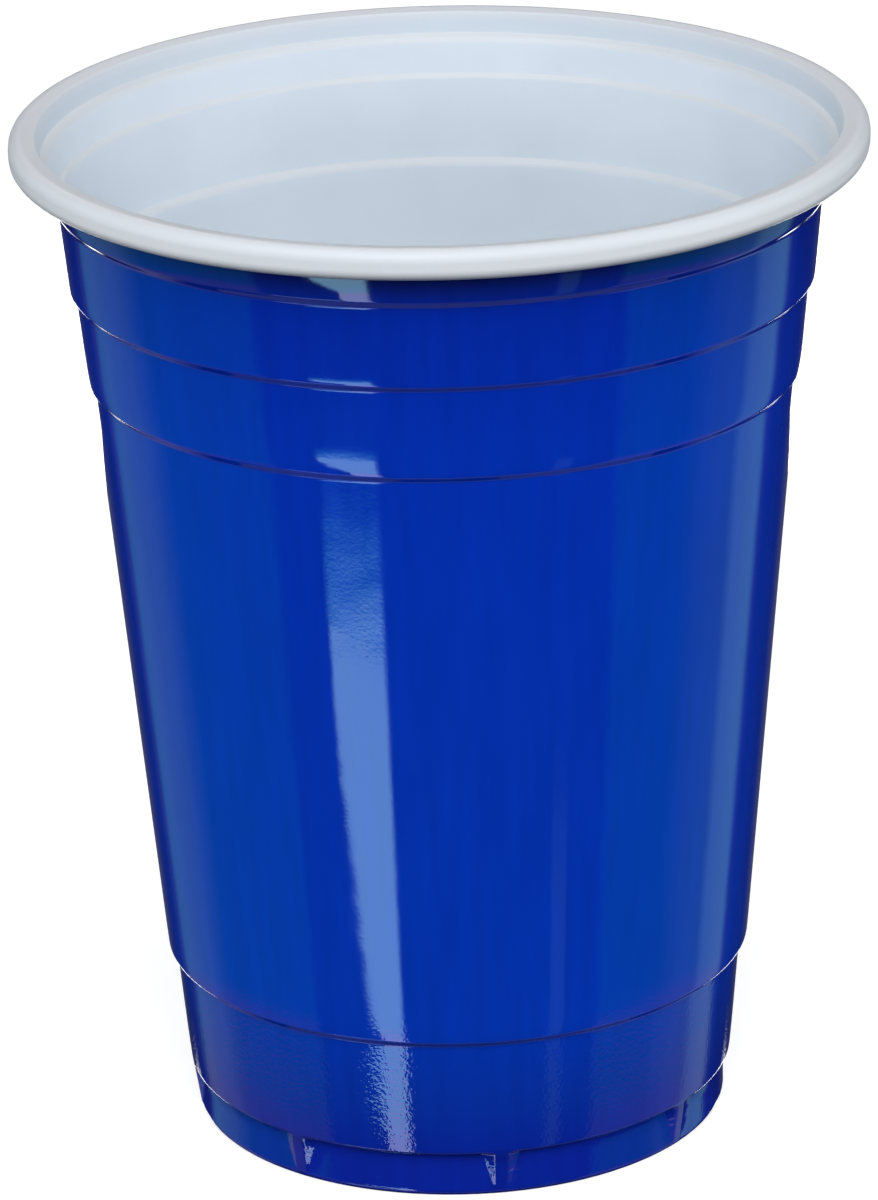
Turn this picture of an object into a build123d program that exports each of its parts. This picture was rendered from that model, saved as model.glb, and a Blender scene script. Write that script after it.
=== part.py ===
from build123d import *
from math import cos, radians, sin, tan
import os

# Disposable drinking cup, thermoformed from one plastic sheet: a tapered body that steps in at its ledges,
# a foot with stacking lugs round a raised base, and a rim rolled outwards.
# Millimetres, +Z up, origin at the centre of the foot, on the table.

# Driving dimensions
cup_height = 116.5
rim_diameter = 95.0  # over the rolled rim
foot_diameter = 60.6  # where the foot's wall would meet the table
wall = 0.4  # sheet thickness

# Rolled rim: the sheet turns over, outwards and down, in short straight steps
roll_radius = 1.75
roll_step = 45  # degrees
roll_step_count = 7

# Ledges: the upper ones are placed down from the rim, the lower ones up from the table
shoulder_drop = 3.1
upper_ledge_drop = 7.5
middle_ledge_drop = 17.3
lower_ledge_drop = 28.0
base_ledge_height = 19.7
foot_height = 5.4
shoulder_step = 0.85
ledge_step = 0.6
base_ledge_step = 0.8
foot_step = 0.8
ledge_fall = 1.0  # height of a ledge's slope

# Foot and raised base panel
foot_draft = 1.0  # degrees
foot_chamfer = 0.5
foot_ring_width = 2.6
panel_rise = 2.4
panel_draft_width = 0.9

# Stacking lugs: wedges pressed out of the foot, flush with the band above and dying out at the table
lug_count = 8
lug_face_width = 1.2
lug_root_width = 6.7  # on the inner side of the foot's wall
lug_tip_width = 1.6
lug_tip_height = 0.8
lug_inset = 0.05  # its tip and its top end this far inside the foot and the band above
lug_overlap = 0.4  # its top ends this far above the ledge

# Radii and heights that follow
foot_radius = foot_diameter / 2
foot_slope = tan(radians(foot_draft))
roll_center_radius = rim_diameter / 2 - roll_radius
roll_center_height = cup_height - roll_radius
lining_radius = roll_radius - wall / cos(radians(roll_step / 2))
neck_radius = roll_center_radius - lining_radius
shoulder_height = cup_height - shoulder_drop
ledges = [
    (foot_height, foot_step),
    (base_ledge_height, base_ledge_step),
    (cup_height - lower_ledge_drop, ledge_step),
    (cup_height - middle_ledge_drop, ledge_step),
    (cup_height - upper_ledge_drop, ledge_step),
    (shoulder_height, shoulder_step),
]
foot_top_radius = foot_radius + foot_slope * foot_height
taper_width = neck_radius - foot_top_radius - sum(step for height, step in ledges)
body_slope = taper_width / (shoulder_height - foot_height)


def foot_wall_radius(height):
    """Outside radius of the foot's wall."""
    return foot_radius + foot_slope * height


def body_radius(height, steps):
    """Outside radius of the band that stands this many steps out from the foot."""
    return foot_top_radius + steps + body_slope * (height - foot_height)


def set_in(corners, depth):
    """The corners of a line, moved to its left by the depth and mitred."""
    points = [Vector(*corner) for corner in corners]
    ways = [(after - before).normalized() for before, after in zip(points, points[1:])]
    lefts = [Vector(-way.Y, way.X) for way in ways]
    moves = [lefts[0]]
    for before, after in zip(lefts, lefts[1:]):
        moves.append((before + after) / (1 + before.dot(after)))
    moves.append(lefts[-1])
    return [tuple(point + move * depth)[:2] for point, move in zip(points, moves)]


# Outer side of the sheet, from the middle of the base to the shoulder
ring_inner_radius = foot_radius - foot_ring_width
body_line = [
    (0, panel_rise),
    (ring_inner_radius - panel_draft_width, panel_rise),
    (ring_inner_radius, 0),
    (foot_radius - foot_chamfer, 0),
    (foot_wall_radius(foot_chamfer), foot_chamfer),
]
steps_below = 0
for height, step in ledges:
    low = height - ledge_fall / 2
    high = height + ledge_fall / 2
    below = foot_wall_radius(low) if height == foot_height else body_radius(low, steps_below)
    steps_below += step
    above = neck_radius if height == shoulder_height else body_radius(high, steps_below)
    body_line += [(below, low), (above, high)]

# The same side, from the shoulder over the roll to the cut edge
roll_line = [body_line[-1]]
for count in range(1, roll_step_count + 1):
    turn = radians(180 - roll_step * count)
    across = roll_center_radius + lining_radius * cos(turn)
    up = roll_center_height + lining_radius * sin(turn)
    roll_line.append((across, up))

# The sheet's inner side
inner_line = set_in(body_line + roll_line[1:], wall)
inner_body_line = inner_line[: len(body_line)]
inner_roll_line = inner_line[len(body_line) - 1 :]
neck_center = (0, inner_body_line[-1][1])

# Corners of one lug, solid; the same form set one wall further in hollows it
lug_top = foot_height + ledge_fall / 2 + lug_overlap
lug_back = foot_radius - wall
lug_corners = [
    (lug_back, lug_tip_width / 2, lug_tip_height),
    (foot_wall_radius(lug_tip_height) - lug_inset, lug_tip_width / 2, lug_tip_height),
    (lug_back, lug_root_width / 2, lug_top),
    (body_radius(lug_top, foot_step) - lug_inset, lug_face_width / 2, lug_top),
]
lug_corners += [(across, -along, up) for across, along, up in lug_corners]

with BuildPart() as cup:
    # Outer form, filled
    with BuildSketch(Plane.XZ):
        with BuildLine():
            Polyline(*body_line, inner_body_line[-1], neck_center, close=True)
        make_face()
    revolve(axis=Axis.Z)
    with PolarLocations(0, lug_count):
        ConvexPolyhedron(lug_corners)
    # Inside, one wall in from the outer form
    with BuildSketch(Plane.XZ):
        with BuildLine():
            Polyline(*inner_body_line, neck_center, close=True)
        make_face()
    revolve(axis=Axis.Z, mode=Mode.SUBTRACT)
    with PolarLocations(-wall, lug_count):
        ConvexPolyhedron(lug_corners, mode=Mode.SUBTRACT)
    # Rolled rim
    with BuildSketch(Plane.XZ):
        with BuildLine():
            Polyline(*roll_line, *reversed(inner_roll_line), close=True)
        make_face()
    revolve(axis=Axis.Z)

os.makedirs("parts", exist_ok=True)
cup.part.label = "cup"
export_step(cup.part, "parts/cup.step")
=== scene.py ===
import math

import bpy
import numpy as np
from mathutils import Matrix, Vector


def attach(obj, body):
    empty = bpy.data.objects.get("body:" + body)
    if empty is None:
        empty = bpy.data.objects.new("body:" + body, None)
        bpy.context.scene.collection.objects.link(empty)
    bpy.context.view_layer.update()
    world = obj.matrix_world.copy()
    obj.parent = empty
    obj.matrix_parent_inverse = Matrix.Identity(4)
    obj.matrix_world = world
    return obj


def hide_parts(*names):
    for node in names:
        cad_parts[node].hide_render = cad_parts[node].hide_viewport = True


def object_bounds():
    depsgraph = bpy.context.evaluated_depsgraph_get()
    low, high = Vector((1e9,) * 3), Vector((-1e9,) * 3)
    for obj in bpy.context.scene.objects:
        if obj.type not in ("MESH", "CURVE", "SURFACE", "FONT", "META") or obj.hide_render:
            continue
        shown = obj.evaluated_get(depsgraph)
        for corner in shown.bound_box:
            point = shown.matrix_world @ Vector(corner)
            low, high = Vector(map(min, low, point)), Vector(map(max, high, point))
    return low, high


# A blue party cup, thermoformed from one two-layer sheet: blue outside, white inside and over the rim.
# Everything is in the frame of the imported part, in metres; the dictionaries below are in millimetres.

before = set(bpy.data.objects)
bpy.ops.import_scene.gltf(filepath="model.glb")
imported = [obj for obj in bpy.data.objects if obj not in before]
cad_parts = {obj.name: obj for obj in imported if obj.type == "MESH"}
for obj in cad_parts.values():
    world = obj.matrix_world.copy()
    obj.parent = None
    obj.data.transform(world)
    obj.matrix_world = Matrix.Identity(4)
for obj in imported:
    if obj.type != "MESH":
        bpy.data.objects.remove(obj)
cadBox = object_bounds()
mm = 0.001
noiseSpan = (0.3, 0.7)  # where nearly all of a noise texture's values lie
scene = bpy.context.scene
scene.view_settings.view_transform = "Standard"


def linearColour(hexText):  # sRGB hex to linear: each channel over 255, with the sRGB curve undone
    channel = np.array([int(hexText[i:i + 2], 16) for i in (1, 3, 5)]) / 255
    return (*np.where(channel <= 0.04045, channel / 12.92, ((channel + 0.055) / 1.055) ** 2.4), 1.0)


def addNode(tree, kind, inputs, **settings):  # one node, its settings, and its sockets set or linked
    node = tree.nodes.new(kind)
    for name, value in settings.items():
        setattr(node, name, value)
    for name, value in inputs.items():
        if isinstance(value, bpy.types.NodeSocket):
            tree.links.new(value, node.inputs[name])
        else:
            node.inputs[name].default_value = value
    return node


def newMaterial(name):  # an empty material and its tree
    material = bpy.data.materials.new(name)
    material.use_nodes = True
    material.node_tree.nodes.clear()
    return material, material.node_tree


def newMesh(name, points, faces):  # an object at the origin, with its place in its mesh
    mesh = bpy.data.meshes.new(name)
    mesh.from_pydata(points, [], faces)
    piece = bpy.data.objects.new(name, mesh)
    scene.collection.objects.link(piece)
    return piece


# The cup's section; what is listed for each ledge goes from the foot up
sheet = {
    "wall": 0.4,
    "footRadius": 30.3, "footDraft": math.radians(0.2), "footRound": 0.8,
    "ringWidth": 2.6, "panelRise": 2.4, "panelDraft": 0.9, "panelRound": 0.8,
    "ledgeHeights": (5.4, 19.7, 88.5, 99.2, 109.0, 113.4),
    "ledgeSteps": (0.8, 0.8, 0.6, 0.6, 0.68, 0.85),
    "ledgeFalls": (0.2, 0.6, 0.6, 0.6, 0.6, 0.4),
    "ledgeRounds": (0.44, 0.45, 0.45, 0.45, 0.45, 0.5),
    "tuckReaches": (6.0, 3.0, 3.2, 1.1, 7.0, 1.0),  # each band draws in above its ledge
    "tuckDepths": (0.06, 0.03, 0.09, 0.03, 0.26, 0.0),
    "coveReach": 1.5, "coveDepth": 0.28,  # the foot's wall curves in under its ledge
    "neck": 44.4, "rollDepth": 3.5, "rollTop": math.radians(8),  # the roll's top slopes up to the outside
    "edgeRadius": 44.9, "edgeRound": 0.06, "crispEdge": 0.16,  # where neck and top meet, blue and white
    "outerRound": 0.9, "underRound": 0.8, "rollEnd": (45.2, 113.5),
    "holdRow": 0.15, "longRun": 0.6,  # rows this near each round, and more on runs longer than this
    "slack": 0.01,  # allowed when rows are picked by their radius
    # turn between rows on a round, rows on a band for the root of its length, and spacing on the foot
    "blueRows": {"turn": math.radians(14), "band": 2.2, "foot": 0.2},
    "whiteRows": {"turn": math.radians(22), "band": 1.4, "foot": 0.45},
}
lugs = {
    "count": 8,
    "tipHeight": 0.6, "lipHeight": 6.0,  # a lug dies out at its tip and is flush with the band at the lip
    "tipFace": 1.2, "lipFace": 1.0, "tipRoot": 1.5, "lipRoot": 5.0,  # widths of its face and its root
    "shoulder": 0.25,  # share of each flank that rounds over from the face
    "creases": (2.9, 3.8, 4.6), "creaseDepth": 0.05, "creaseWidth": 0.16,  # folds across the flanks
    "creaseShift": 0.3, "shiftTurns": (2.4, 1.7, 5.0),  # how far folds move, varied by lug, side and fold
    "creaseBulge": 0.3,  # a fold is full where the lug stands out this far
    "faceColumns": 6, "flankColumns": 8, "plainColumns": 12,  # columns of one of the eight sectors
}
sheet["height"] = cadBox[1][2] / mm
sheet["rimRadius"] = cadBox[1][0] / mm


# straight runs, with an arc of each radius tangent to both runs at its corner
def roundedLine(corners, radii, turnStep):
    corners = np.array(corners)
    line = [corners[:1]]
    for before, corner, after, radius in zip(corners, corners[1:], corners[2:], radii):
        way = (corner - before) / np.linalg.norm(corner - before)
        wayOut = (after - corner) / np.linalg.norm(after - corner)
        turn = math.atan2(way[0] * wayOut[1] - way[1] * wayOut[0], way @ wayOut)
        start = corner - way * radius * math.tan(abs(turn) / 2)
        left = np.array([-way[1], way[0]]) * math.copysign(1, turn)
        angle = np.linspace(0, turn, math.ceil(abs(turn) / turnStep) + 1)[:, None]
        spoke = -left * radius
        across = np.array([-spoke[1], spoke[0]])
        line.append(start + left * radius + spoke * np.cos(angle) + across * np.sin(angle))
    return np.concatenate(line + [corners[-1:]])


# a line's corners, moved to its left by the depth and mitred, and which way each corner turns
def setIn(corners, depth):
    way = np.diff(corners, axis=0)
    way /= np.linalg.norm(way, axis=1)[:, None]
    left = np.stack([-way[:, 1], way[:, 0]], axis=1)
    mitre = (left[:-1] + left[1:]) / (1 + (left[:-1] * left[1:]).sum(axis=1))[:, None]
    turns = np.sign((left[:-1] * way[1:]).sum(axis=1))
    return corners + depth * np.concatenate([left[:1], mitre, left[-1:]]), turns


# extra rows on each long run: even ones on the foot, and ones that close up downwards on a band
def bandRows(line, s, rows):
    out = [line[:1]]
    for start, end in zip(line, line[1:]):
        length = np.linalg.norm(end - start)
        share = np.array([1.0])
        if length > s["longRun"]:
            onFoot = start[1] < end[1] < s["ledgeHeights"][0]
            count = math.ceil(length / rows["foot"] if onFoot else rows["band"] * math.sqrt(length))
            count = 1 if start[1] == end[1] else count
            even = np.linspace(0, 1, count + 1)
            hold = s["holdRow"] / length
            share = np.append(hold + (1 - 2 * hold) * (even if onFoot else even ** 2), 1.0)
        out.append(start + (end - start) * share[:, None])
    return np.concatenate(out)


# corners and rounds of the sheet's outer side, from the middle of the base up the ledged wall to the neck
def wallCorners(s):
    footSlope = math.tan(s["footDraft"])
    footTop = s["footRadius"] + footSlope * s["ledgeHeights"][0]
    rise = s["ledgeHeights"][-1] - s["ledgeHeights"][0]
    slope = (s["neck"] - footTop - sum(s["ledgeSteps"])) / rise
    ringInner = s["footRadius"] - s["ringWidth"]
    corners = [(0, s["panelRise"]), (ringInner - s["panelDraft"], s["panelRise"])]
    corners += [(ringInner, 0), (s["footRadius"], 0)]
    radii = [s["panelRound"], s["panelRound"], s["footRound"]]
    stepsBelow = 0
    ledges = zip(s["ledgeHeights"], s["ledgeSteps"], s["ledgeFalls"], s["ledgeRounds"])
    for height, step, fall, ledgeRound in ledges:
        ends = np.array([height - fall / 2, height + fall / 2])
        steps = np.array([stepsBelow, stepsBelow + step])
        bands = footTop + steps + slope * (ends - s["ledgeHeights"][0])
        if height == s["ledgeHeights"][0]:
            bands[0] = s["footRadius"] + footSlope * ends[0]
        if height == s["ledgeHeights"][-1]:
            bands[1] = s["neck"]
        corners += list(zip(bands, ends))
        radii += [ledgeRound, ledgeRound]
        stepsBelow += step
    return corners, radii


# corners and rounds of the roll: its top is a line tangent to the outer round, which touches the cup's box
def rollCorners(s):
    outer = s["rimRadius"] - s["wall"]
    top = s["height"] - s["wall"]
    toTouch = np.array([-1 - math.sin(s["rollTop"]), math.cos(s["rollTop"]) - 1])
    touch = np.array([outer, top]) + s["outerRound"] * toTouch
    across = np.array([s["edgeRadius"], outer])
    corners = list(zip(across, touch[1] + (across - touch[0]) * math.tan(s["rollTop"])))
    corners += [(outer, s["height"] - s["rollDepth"] + s["wall"]), s["rollEnd"]]
    return corners, [s["edgeRound"], s["outerRound"], s["underRound"]]


# the foot draws in by the square of its nearness to its ledge, and a band by the cube of its nearness
# to the ledge below; the ledge's slope takes both up
def drawIn(line, s):
    z = line[:, 1]
    onWall = line[:, 0] > s["footRadius"] - 2 * s["wall"]
    lip = s["ledgeHeights"][0] - s["ledgeFalls"][0] / 2
    nearLip = np.clip((z - lip) / s["coveReach"] + 1, 0, 1)
    cove = nearLip ** 2 * np.clip((lip - z) / s["ledgeFalls"][0] + 1, 0, 1)
    line[:, 0] -= s["coveDepth"] * cove * onWall
    tucks = zip(s["ledgeHeights"], s["ledgeFalls"], s["tuckReaches"], s["tuckDepths"])
    for height, fall, reach, tuck in tucks:
        onLedge = np.clip((z - height) / fall + 0.5, 0, 1)
        near = np.clip(1 - (z - height - fall / 2) / reach, 0, 1)
        line[:, 0] -= tuck * onLedge * near ** 3 * onWall
    return line


# one side of the sheet, this deep in it, from the middle of the base to the end of the roll
def sheetLine(s, rows, depth):
    lowCorners, lowRadii = wallCorners(s)
    highCorners, highRadii = rollCorners(s)
    corners, turns = setIn(np.array(lowCorners + highCorners), depth)
    radii = np.array(lowRadii + highRadii) - depth * turns
    radii[len(lowRadii)] = s["crispEdge"] if depth else s["edgeRound"]
    return drawIn(bandRows(roundedLine(corners, radii, rows["turn"]), s, rows), s)


# angle of each column at each height, so that columns follow the lug's edges, and how it stands out there
def lugColumns(z, g):
    share = np.clip((z - g["tipHeight"]) / (g["lipHeight"] - g["tipHeight"]), 0, 1)[:, None]
    halfSector = math.pi / g["count"]
    face = (g["tipFace"] + (g["lipFace"] - g["tipFace"]) * share) / 2 / sheet["footRadius"]
    root = (g["tipRoot"] + (g["lipRoot"] - g["tipRoot"]) * share) / 2 / sheet["footRadius"]
    faceShare = np.linspace(-1, 1, g["faceColumns"] + 1)[None, :-1]
    flankShare = np.arange(g["flankColumns"])[None] / g["flankColumns"]
    plainShare = np.arange(g["plainColumns"])[None] / g["plainColumns"]
    right = face + (root - face) * flankShare
    plain = root + (2 * halfSector - 2 * root) * plainShare
    left = 2 * halfSector - root + (root - face) * flankShare
    sector = np.concatenate([face * faceShare, right, plain, left], axis=1)
    # press is 1 on the face and 0 off the lug; a flank rounds over as share squared, then falls straight
    k = g["shoulder"]
    fall = np.where(flankShare < k, flankShare ** 2 / (2 * k), flankShare - k / 2) / (1 - k / 2)
    fallBack = np.append(1.0, fall[0, :0:-1])[None]
    press = np.concatenate([1 + 0 * faceShare, 1 - fall, 0 * plainShare, 1 - fallBack], axis=1)
    # folds: a narrow dip at each crease height, moved a little on each side of each lug
    lug = np.arange(g["count"])[None, :, None]
    leftSide = np.arange(press.shape[1])[None, None] > press.shape[1] / 2
    byLug, bySide, byFold = g["shiftTurns"]
    shift = g["creaseShift"] * np.sin(byLug * lug + bySide * leftSide)
    dip = 0
    for crease in g["creases"]:
        below = z[:, None, None] - crease - shift * np.cos(crease * byFold + lug)
        dip = dip + np.exp(-(below / g["creaseWidth"]) ** 2)
    fold = g["creaseDepth"] * dip * (4 * press * (1 - press))[:, None, :]
    turns = lug * 2 * halfSector
    angle = (turns + sector[:, None, :]).reshape(len(z), -1)
    return angle, np.tile(press, (1, g["count"])), fold.reshape(len(z), -1)


# the blue line up and the white line back down, carried round the axis as one closed grid with two poles
def makeCup(s, g):
    blue = sheetLine(s, s["blueRows"], 0)
    white = sheetLine(s, s["whiteRows"], s["wall"])
    line = np.concatenate([blue[1:], white[:0:-1]])
    side = np.concatenate([np.zeros(len(blue) - 1), np.ones(len(white) - 1)])
    radius, z = line.T
    angle, press, fold = lugColumns(z, g)
    # the lug's face: straight from the foot at its tip to the band at its lip, one wall in for the white
    onWall = (blue[:, 0] > s["footRadius"] - s["slack"]) & (blue[:, 1] < s["ledgeHeights"][1])
    ends = [g["tipHeight"], g["lipHeight"]]
    flush = np.interp(z, ends, np.interp(ends, blue[onWall, 1], blue[onWall, 0])) - s["wall"] * side
    inFoot = (z > g["tipHeight"]) & (z < g["lipHeight"]) & (radius > s["footRadius"] - 2 * s["wall"])
    bulge = np.where(inFoot, np.maximum(flush - radius, 0), 0)[:, None]
    full = radius[:, None] + press * bulge - fold * np.minimum(bulge / g["creaseBulge"], 1)
    rows, columns = angle.shape
    heights = np.repeat(z[:, None], columns, 1)
    points = np.stack([full * np.cos(angle), full * np.sin(angle), heights], axis=-1).reshape(-1, 3)
    points = np.concatenate([points, [[0, 0, blue[0, 1]], [0, 0, white[0, 1]]]]) * mm
    index = np.arange(rows * columns).reshape(rows, columns)
    after = np.roll(index, -1, axis=1)
    quads = np.stack([index[:-1], after[:-1], after[1:], index[1:]], axis=-1).reshape(-1, 4)
    lowPole = rows * columns
    lowFan = np.stack([after[0], index[0], np.full(columns, lowPole)], axis=-1)
    highFan = np.stack([index[-1], after[-1], np.full(columns, lowPole + 1)], axis=-1)
    cup = newMesh("party_cup", points.tolist(), quads.tolist() + lowFan.tolist() + highFan.tolist())
    layer = np.repeat((side[:-1] + side[1:]) > 0, columns)  # 0 is the blue layer and 1 the white one
    layer = np.concatenate([layer, np.zeros(columns, bool), np.ones(columns, bool)])
    cup.data.polygons.foreach_set("material_index", layer.astype(np.int32))
    cup.data.polygons.foreach_set("use_smooth", np.ones(len(layer), bool))
    cup.data.update()
    print("cup:", rows, "rows,", columns, "columns,", 2 * len(quads) + 2 * columns, "triangles")
    return cup


# High-impact polystyrene, thermoformed: a glossy skin with fine orange peel and faint streaks of the draw
blueSkin = {
    "colours": {  # by height on the cup; the dip at 5 mm is painted shade under the foot's ledge, and the darkening towards the roll is partly thicker sheet and partly painted shade under it
        3.6: "#09239B", 5.0: "#071D84", 6.0: "#07259B", 12.0: "#052FA1",
        22.0: "#0235B3", 90.0: "#022FAF", 108.0: "#02279F", 112.0: "#0A1C6A"},
    "roughness": (0.035, 0.06), "ior": 1.59,
    "streakWidth": 1.5, "streakLength": 40.0, "streakValue": (0.94, 1.06),  # faint draw streaks up the wall
    "waveSize": 6.0, "waveDepth": 0.014,  # slow waves of the drawn sheet
    "peelSize": 0.42, "peelDepth": 0.015,  # fine peel, full below these heights and faint above
    "peelHeights": (18.0, 24.0), "peelAbove": 0.1,
}


def bluePolystyrene(b):
    material, tree = newMaterial("blue_polystyrene")
    place = addNode(tree, "ShaderNodeTexCoord", {}).outputs["Object"]
    height = addNode(tree, "ShaderNodeSeparateXYZ", {"Vector": place}).outputs["Z"]
    # colour by height, with painted shade under the foot's ledge and under the roll
    top = max(b["colours"])
    share = addNode(tree, "ShaderNodeMath", {0: height, 1: 1 / (top * mm)}, operation="MULTIPLY")
    colour = addNode(tree, "ShaderNodeValToRGB", {"Fac": share.outputs[0]})
    stops = colour.color_ramp.elements
    for order, (z, hexText) in enumerate(b["colours"].items()):
        stop = stops[order] if order < 2 else stops.new(z / top)  # a ramp starts with two stops
        stop.position, stop.color = z / top, linearColour(hexText)
    squeeze = b["streakWidth"] / b["streakLength"]
    drawn = addNode(tree, "ShaderNodeMapping", {"Vector": place, "Scale": (1, 1, squeeze)})
    streak = addNode(tree, "ShaderNodeTexNoise", {
        "Vector": drawn.outputs["Vector"], "Scale": 1 / (b["streakWidth"] * mm), "Detail": 2.0})
    value = addNode(tree, "ShaderNodeMapRange", {
        "Value": streak.outputs["Fac"], "From Min": noiseSpan[0], "From Max": noiseSpan[1],
        "To Min": b["streakValue"][0], "To Max": b["streakValue"][1]})
    colour = addNode(tree, "ShaderNodeHueSaturation", {
        "Color": colour.outputs["Color"], "Value": value.outputs["Result"]})
    gloss = addNode(tree, "ShaderNodeMapRange", {
        "Value": streak.outputs["Fac"], "From Min": noiseSpan[0], "From Max": noiseSpan[1],
        "To Min": b["roughness"][0], "To Max": b["roughness"][1]})
    wave = addNode(tree, "ShaderNodeTexNoise", {
        "Vector": place, "Scale": 1 / (b["waveSize"] * mm), "Detail": 1.0})
    bump = addNode(tree, "ShaderNodeBump", {"Height": wave.outputs["Fac"], "Distance": b["waveDepth"] * mm})
    fade = addNode(tree, "ShaderNodeMapRange", {
        "Value": height, "From Min": b["peelHeights"][0] * mm, "From Max": b["peelHeights"][1] * mm,
        "To Min": 1.0, "To Max": b["peelAbove"]})
    peel = addNode(tree, "ShaderNodeTexNoise", {
        "Vector": place, "Scale": 1 / (b["peelSize"] * mm), "Detail": 1.0})
    bump = addNode(tree, "ShaderNodeBump", {
        "Height": peel.outputs["Fac"], "Distance": b["peelDepth"] * mm, "Strength": fade.outputs["Result"],
        "Normal": bump.outputs["Normal"]})
    skin = addNode(tree, "ShaderNodeBsdfPrincipled", {
        "Base Color": colour.outputs["Color"], "Roughness": gloss.outputs["Result"], "IOR": b["ior"],
        "Normal": bump.outputs["Normal"]})
    addNode(tree, "ShaderNodeOutputMaterial", {"Surface": skin.outputs["BSDF"]})
    return material


# The sheet's white layer: the same plastic with a satin face, in faint bluish clouds where thin and greyer
# on the rim where thick, with tints of painted light and painted shade
# Each tint comes in over a span of height, radius or how far the face looks up, over the tints before it
whiteSkin = {
    "colours": ("#D1DBE6", "#D6E0EA"), "cloudSize": 11.0,  # faint clouds of the blue that shows through
    "tints": {
        "paintedLightLow": {"colour": "#DEE8F2", "by": "height", "span": (97.0, 84.0)},  # paler low down: painted light in the deep inside, where the lamps reach less
        "neck": {"colour": "#C0CCD8", "by": "height", "span": (113.3, 114.0)},  # darker band under the rim's inner edge: painted shade
        "paintedShadeTops": {"colour": "#D0D5DB", "by": "facing", "span": (0.15, 0.5)},  # greyer and darker where the face looks up: painted shade that tones down the lit tops
        "rim": {"colour": "#CFD4DB", "by": "radius", "span": (44.3, 44.6)},  # undrawn, thickest
        "paintedShadeUnder": {"colour": "#A6ADB7", "by": "facing", "span": (-0.1, -0.8)},  # darker where the face looks down: painted shade under the roll
    },
    "roughness": (0.38, 0.48), "ior": 1.52, "peelSize": 1.6, "peelDepth": 0.008,
}


def whitePolystyrene(w):
    material, tree = newMaterial("white_polystyrene")
    place = addNode(tree, "ShaderNodeTexCoord", {}).outputs["Object"]
    cloud = addNode(tree, "ShaderNodeTexNoise", {
        "Vector": place, "Scale": 1 / (w["cloudSize"] * mm), "Detail": 4.0})
    ramp = addNode(tree, "ShaderNodeValToRGB", {"Fac": cloud.outputs["Fac"]})
    for stop, position, hexText in zip(ramp.color_ramp.elements, noiseSpan, w["colours"]):
        stop.position, stop.color = position, linearColour(hexText)
    gloss = addNode(tree, "ShaderNodeMapRange", {
        "Value": cloud.outputs["Fac"], "From Min": noiseSpan[0], "From Max": noiseSpan[1],
        "To Min": w["roughness"][0], "To Max": w["roughness"][1]})
    flat = addNode(tree, "ShaderNodeVectorMath", {0: place, 1: (1, 1, 0)}, operation="MULTIPLY")
    radius = addNode(tree, "ShaderNodeVectorMath", {0: flat.outputs["Vector"]}, operation="LENGTH")
    normal = addNode(tree, "ShaderNodeNewGeometry", {}).outputs["Normal"]
    measures = {  # what a tint goes by, and its unit
        "height": (addNode(tree, "ShaderNodeSeparateXYZ", {"Vector": place}).outputs["Z"], mm),
        "radius": (radius.outputs["Value"], mm),
        "facing": (addNode(tree, "ShaderNodeSeparateXYZ", {"Vector": normal}).outputs["Z"], 1),
    }
    colour = ramp.outputs["Color"]
    for tint in w["tints"].values():
        measure, unit = measures[tint["by"]]
        share = addNode(tree, "ShaderNodeMapRange", {
            "Value": measure, "From Min": tint["span"][0] * unit, "From Max": tint["span"][1] * unit})
        mixed = addNode(tree, "ShaderNodeMix", {  # sockets 6 and 7 are its colours, output 2 their mix
            "Factor": share.outputs["Result"], 6: colour, 7: linearColour(tint["colour"])},
            data_type="RGBA")
        colour = mixed.outputs[2]
    peel = addNode(tree, "ShaderNodeTexNoise", {
        "Vector": place, "Scale": 1 / (w["peelSize"] * mm), "Detail": 2.0})
    bump = addNode(tree, "ShaderNodeBump", {"Height": peel.outputs["Fac"], "Distance": w["peelDepth"] * mm})
    skin = addNode(tree, "ShaderNodeBsdfPrincipled", {
        "Base Color": colour, "Roughness": gloss.outputs["Result"], "IOR": w["ior"],
        "Normal": bump.outputs["Normal"]})
    addNode(tree, "ShaderNodeOutputMaterial", {"Surface": skin.outputs["BSDF"]})
    return material


cup = makeCup(sheet, lugs)
cup.data.materials.append(bluePolystyrene(blueSkin))
cup.data.materials.append(whitePolystyrene(whiteSkin))
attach(cup, "root")
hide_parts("cup")
print("cup dressed")

# Where the camera stands, as an azimuth about the cup's axis, and how it is turned
# The stage is laid out from the camera's side
view = {
    "azimuth": math.radians(-98), "reach": 740.393, "height": 338.336,
    "pitch": 0.359523, "yaw": -0.00170405, "roll": -0.0245463,
    "focalPixels": 7000.0, "framePixels": 1200.0, "sensor": 36.0,
}


# 1 for what the camera sees, straight or in a reflection or through glass, and 0 for light thrown about
def seenRay(tree):
    path = addNode(tree, "ShaderNodeLightPath", {}).outputs
    seen = path["Is Camera Ray"]
    for kind in ("Is Glossy Ray", "Is Transmission Ray"):
        seen = addNode(tree, "ShaderNodeMath", {0: seen, 1: path[kind]}, operation="MAXIMUM").outputs[0]
    return seen


# Floor: a pale table, part of its white its own so that the shadow stays soft; it throws little light back
floorSet = {
    "halfSide": 8000, "seen": "#C8C8C8", "thrown": "#585858",
    "ownWhite": (0.7, 0.95), "ownReach": (400, 1600),  # rises away from the cup, as the lamps fall off
}


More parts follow.
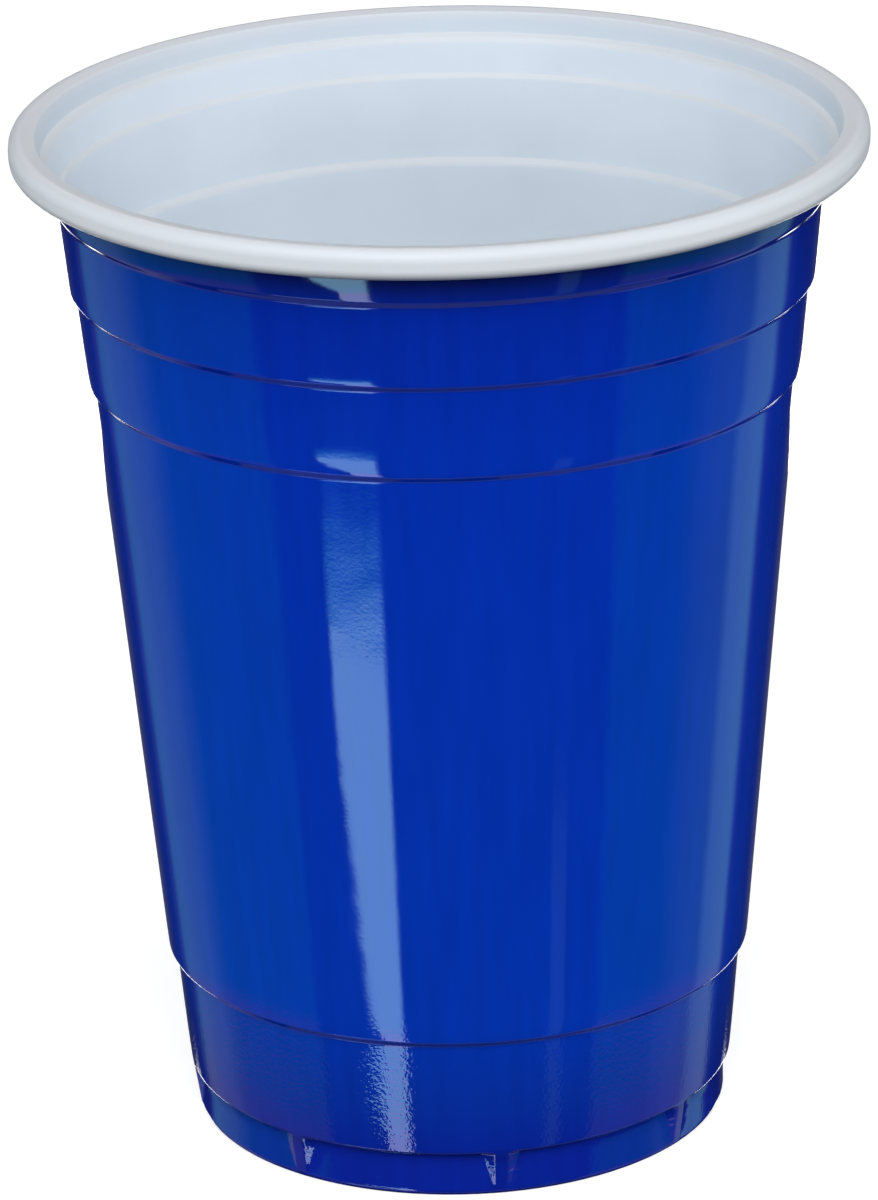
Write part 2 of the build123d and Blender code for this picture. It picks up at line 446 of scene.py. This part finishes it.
def makeFloor(f):
    side = f["halfSide"] * mm
    corners = [(-side, -side, 0), (side, -side, 0), (side, side, 0), (-side, side, 0)]
    floor = newMesh("floor", corners, [(0, 1, 2, 3)])
    material, tree = newMaterial("pale_table")
    seen = seenRay(tree)
    colour = addNode(tree, "ShaderNodeMix", {
        "Factor": seen, 6: linearColour(f["thrown"]), 7: linearColour(f["seen"])}, data_type="RGBA")
    place = addNode(tree, "ShaderNodeTexCoord", {}).outputs["Object"]
    away = addNode(tree, "ShaderNodeVectorMath", {0: place}, operation="LENGTH").outputs["Value"]
    own = addNode(tree, "ShaderNodeMapRange", {
        "Value": away, "From Min": f["ownReach"][0] * mm, "From Max": f["ownReach"][1] * mm,
        "To Min": f["ownWhite"][0], "To Max": f["ownWhite"][1]})
    own = addNode(tree, "ShaderNodeMath", {0: seen, 1: own.outputs["Result"]}, operation="MULTIPLY")
    paint = addNode(tree, "ShaderNodeBsdfDiffuse", {"Color": colour.outputs[2]})
    white = addNode(tree, "ShaderNodeEmission", {"Strength": own.outputs[0]})
    both = addNode(tree, "ShaderNodeAddShader", {0: paint.outputs["BSDF"], 1: white.outputs["Emission"]})
    addNode(tree, "ShaderNodeOutputMaterial", {"Surface": both.outputs["Shader"]})
    floor.data.materials.append(material)


# Studio: a dark wall with lit panels, glass on the table and a white card, seen only in the cup's gloss
# A panel is lit between two azimuths from the camera's side, plus to the right, and two height angles
# soft is the width of its edges, slant its fall to the left, lean how its left edge moves in with height
studio = {
    "radius": 6000, "columns": 720, "topAngle": 56, "dark": 0.012,
    "rowSpans": ((0, 28, 1), (28, 31, 0.05), (31, 56.5, 0.5)),  # start, end and spacing of the wall's rows
    "glassLift": 0.05, "steepMirror": 0.16, "mirrorFacing": (0.22, 0.32),  # glass mirrors less from above
    "cardLift": 0.1, "cardSide": (-112, 112), "cardBack": (205, 600), "cardGlow": 3.5,
    "panels": {
        "strip": {
            "azimuth": (-43.3, -23.6), "height": (29.97, 35), "lean": (30.7, 2.4), "slant": 0.03,
            "soft": (1.6, 0.2), "glow": 5.0, "tint": "#A0DAF2"},
        "stripTop": {
            "azimuth": (-43.3, -23.6), "height": (35, 50), "lean": (30.7, 2.4), "slant": 0.03,
            "soft": (1.6, 0.2), "glow": 5.0, "tint": "#C4CCF0"},
        "stripEnd": {
            "azimuth": (-43.3, -23.6), "height": (29.5, 29.82), "slant": 0.03,
            "soft": (2.5, 0.2), "glow": 2.0, "tint": "#80D8FF"},
        "stripHaze": {
            "azimuth": (-43.3, -23.6), "height": (28.9, 30.1), "slant": 0.03,
            "soft": (2.5, 0.4), "glow": 0.9, "tint": "#48D8FF"},
        "left": {
            "azimuth": (-142, -61), "height": (5, 30.5), "slant": 0.08,
            "soft": (3, 0.8), "glow": 0.28, "tint": "#20DCF0"},
        "leftTop": {
            "azimuth": (-142, -61), "height": (30.5, 50), "slant": 0.08,
            "soft": (3, 0.8), "glow": 0.16, "tint": "#FFF0E0"},
        "farLeft": {
            "azimuth": (-142, -112), "height": (10, 50),
            "soft": (13, 0.5), "glow": 0.23, "tint": "#C8CCF0"},
        "lugGlint": {
            "azimuth": (-62, -26), "height": (43, 55), "soft": (2, 1), "glow": 4.0, "tint": "#C8E4FF"},
        "lugDim": {
            "azimuth": (60, 100), "height": (43, 55), "soft": (4, 1), "glow": 1.2, "tint": "#C0C8FF"},
        "thin": {
            "azimuth": (37, 43), "height": (31.5, 45), "soft": (1, 0.5), "glow": 0.3, "tint": "#97DAFF"},
        "right": {
            "azimuth": (58.5, 131), "height": (5, 30.8), "slant": -0.083,
            "soft": (3, 0.8), "glow": 0.29, "tint": "#10DC90"},
        "rightTop": {
            "azimuth": (58.5, 131), "height": (30.8, 50), "slant": -0.083,
            "soft": (3, 0.8), "glow": 0.16, "tint": "#FFF0E0"},
        "rightRise": {
            "azimuth": (92, 131), "height": (10, 50), "soft": (14, 0.5), "glow": 0.08, "tint": "#FFFFFF"},
        "farRight": {
            "azimuth": (112.5, 131), "height": (10, 50), "soft": (5, 0.5), "glow": 0.42, "tint": "#A8DCFF"},
        "behindLeft": {
            "azimuth": (-190, -160), "height": (5, 25), "soft": (12, 1), "glow": 0.06, "tint": "#FFFFFF"},
        "behindRight": {
            "azimuth": (160, 190), "height": (5, 25), "soft": (12, 1), "glow": 0.06, "tint": "#FFFFFF"},
        "ledgeLeft": {
            "azimuth": (-177, -157), "height": (27, 37), "soft": (4, 1), "glow": 5.0, "tint": "#FFFFFF"},
        "ledgeRight": {
            "azimuth": (157, 177), "height": (27, 37), "soft": (4, 1), "glow": 5.0, "tint": "#FFFFFF"},
    },
}


def showInGloss(piece):  # seen in reflections alone
    piece.visible_camera = False
    piece.visible_diffuse = False
    piece.visible_shadow = False
    piece.visible_transmission = False


# how bright a panel is at each azimuth and height angle: each edge rises from 0 to 1 over its soft width
def panelGlow(panel, turn, height):
    middle = sum(panel["azimuth"]) / 2
    leanFrom, lean = panel.get("lean", (0, 0))
    leaned = turn - np.maximum(height - leanFrom, 0) * lean * (turn < middle)
    level = height - panel.get("slant", 0) * (turn - middle)
    across = np.minimum(leaned - panel["azimuth"][0], panel["azimuth"][1] - leaned) / panel["soft"][0]
    up = np.minimum(level - panel["height"][0], panel["height"][1] - level) / panel["soft"][1]
    lit = panel["glow"] * np.clip(across + 0.5, 0, 1) * np.clip(up + 0.5, 0, 1)
    return lit[..., None] * np.array(linearColour(panel["tint"]))


# a round wall; the height of a row is the tangent of its height angle, and the panels add up on it
def makeWall(c):
    columns = np.linspace(-180, 180, c["columns"], endpoint=False)
    turn, height = np.meshgrid(columns, np.concatenate([np.arange(*span) for span in c["rowSpans"]]))
    glow = np.full(turn.shape + (4,), c["dark"])
    for panel in c["panels"].values():
        glow += panelGlow(panel, turn, height)
    heading = view["azimuth"] + np.radians(turn)
    rise = np.tan(np.radians(height))
    points = c["radius"] * mm * np.stack([np.cos(heading), np.sin(heading), rise], axis=-1)
    index = np.arange(turn.size).reshape(turn.shape)
    after = np.roll(index, -1, axis=1)
    quads = np.stack([index[:-1], index[1:], after[1:], after[:-1]], axis=-1).reshape(-1, 4)
    wall = newMesh("studio_wall", points.reshape(-1, 3).tolist(), quads.tolist())
    layer = wall.data.attributes.new("glow", "FLOAT_COLOR", "POINT")
    layer.data.foreach_set("color", glow.astype(np.float32).ravel())
    material, tree = newMaterial("soft_panels")
    shine = addNode(tree, "ShaderNodeAttribute", {}, attribute_name="glow")
    light = addNode(tree, "ShaderNodeEmission", {"Color": shine.outputs["Color"]})
    addNode(tree, "ShaderNodeOutputMaterial", {"Surface": light.outputs["Emission"]})
    wall.data.materials.append(material)
    showInGloss(wall)


# a disc out to the wall, which mirrors at a low angle and is dark from above
def makeGlass(c):
    heading = view["azimuth"] + np.radians(np.linspace(-180, 180, c["columns"], endpoint=False))
    rim = c["radius"] * mm * np.stack([np.cos(heading), np.sin(heading), 0 * heading], axis=-1)
    rim += [0, 0, c["glassLift"] * mm]
    glass = newMesh("table_glass", rim.tolist(), [list(range(len(rim)))])
    material, tree = newMaterial("table_glass")
    facing = addNode(tree, "ShaderNodeLayerWeight", {"Blend": 0.5}).outputs["Facing"]
    share = addNode(tree, "ShaderNodeMapRange", {
        "Value": facing, "From Min": c["mirrorFacing"][0], "From Max": c["mirrorFacing"][1],
        "To Min": c["steepMirror"]})
    mirror = addNode(tree, "ShaderNodeBsdfGlossy", {"Color": share.outputs["Result"], "Roughness": 0.0})
    addNode(tree, "ShaderNodeOutputMaterial", {"Surface": mirror.outputs["BSDF"]})
    glass.data.materials.append(material)
    showInGloss(glass)


# the card lies behind the cup, seen from the camera, between two side and two back distances
def makeCard(c):
    ahead = np.array([math.cos(view["azimuth"]), math.sin(view["azimuth"])])
    rightward = np.array([-ahead[1], ahead[0]])
    corners = ((0, 0), (1, 0), (1, 1), (0, 1))
    places = [rightward * c["cardSide"][i] - ahead * c["cardBack"][j] for i, j in corners]
    card = newMesh("back_card", [(*place * mm, c["cardLift"] * mm) for place in places], [(0, 1, 2, 3)])
    material, tree = newMaterial("white_card")
    light = addNode(tree, "ShaderNodeEmission", {"Strength": c["cardGlow"]})
    addNode(tree, "ShaderNodeOutputMaterial", {"Surface": light.outputs["Emission"]})
    card.data.materials.append(material)
    showInGloss(card)


# Light: a faint white sky and five softboxes; azimuths are from the camera's side, angles are in degrees
sky = {"strength": 0.18}
softboxes = {
    "overhead": {"azimuth": 0, "heightAngle": 88, "distance": 1000, "size": 1000, "watts": 0.6},
    "left": {"azimuth": -66, "heightAngle": 15, "distance": 1000, "size": 600, "watts": 5.3},
    "right": {"azimuth": 64, "heightAngle": 17, "distance": 1000, "size": 600, "watts": 5.4},
    "front": {"azimuth": 0, "heightAngle": 41, "distance": 1000, "size": 600, "watts": 6.0},
    "back": {"azimuth": 180, "heightAngle": 12, "distance": 1000, "size": 600, "watts": 1.4},
}


def makeSky(s):  # white where it is seen, and faint as a light
    world = bpy.data.worlds.new("white_sky")
    scene.world = world
    world.use_nodes = True
    tree = world.node_tree
    tree.nodes.clear()
    strength = addNode(tree, "ShaderNodeMath", {
        0: seenRay(tree), 1: 1 - s["strength"], 2: s["strength"]}, operation="MULTIPLY_ADD")
    white = addNode(tree, "ShaderNodeBackground", {"Color": (1, 1, 1, 1), "Strength": strength.outputs[0]})
    addNode(tree, "ShaderNodeOutputWorld", {"Surface": white.outputs["Background"]})


def makeSoftbox(name, box):  # a square lamp that faces the origin
    heading = view["azimuth"] + math.radians(box["azimuth"])
    lift = math.radians(box["heightAngle"])
    way = Vector((math.cos(heading) * math.cos(lift), math.sin(heading) * math.cos(lift), math.sin(lift)))
    lamp = bpy.data.lights.new(name, "AREA")
    lamp.size = box["size"] * mm
    lamp.energy = box["watts"]
    holder = bpy.data.objects.new(name, lamp)
    holder.visible_glossy = box["heightAngle"] > studio["topAngle"]  # panels stand for the low ones there
    turned = way.to_track_quat("Z", "Y").to_matrix().to_4x4()
    holder.matrix_world = Matrix.Translation(way * box["distance"] * mm) @ turned
    scene.collection.objects.link(holder)


makeFloor(floorSet)
makeWall(studio)
makeGlass(studio)
makeCard(studio)
makeSky(sky)
for boxName, boxSet in softboxes.items():
    makeSoftbox(boxName, boxSet)
print("stage and light set")


# a long lens; its axes are worked out from the yaw, pitch and roll about the line to the cup
def makeCamera(v):
    swing = v["azimuth"] + math.pi / 2
    ahead = v["yaw"] - swing
    level = math.cos(v["pitch"])
    forward = np.array([math.sin(ahead) * level, math.cos(ahead) * level, -math.sin(v["pitch"])])
    right = np.cross(forward, (0, 0, 1))
    right /= np.linalg.norm(right)
    up = np.cross(right, forward)
    c, s = math.cos(v["roll"]), math.sin(v["roll"])
    axes = np.stack([c * right + s * up, c * up - s * right, -forward], axis=1)
    out = v["reach"]
    place = np.array([out * math.cos(v["azimuth"]), out * math.sin(v["azimuth"]), v["height"]]) * mm
    lens = bpy.data.cameras.new("camera")
    lens.sensor_fit = "VERTICAL"
    lens.sensor_height = v["sensor"]
    lens.lens = v["focalPixels"] / v["framePixels"] * v["sensor"]
    holder = bpy.data.objects.new("camera", lens)
    holder.matrix_world = Matrix.Translation(place) @ Matrix(axes.tolist()).to_4x4()
    scene.collection.objects.link(holder)
    scene.camera = holder


makeCamera(view)
print("camera set")
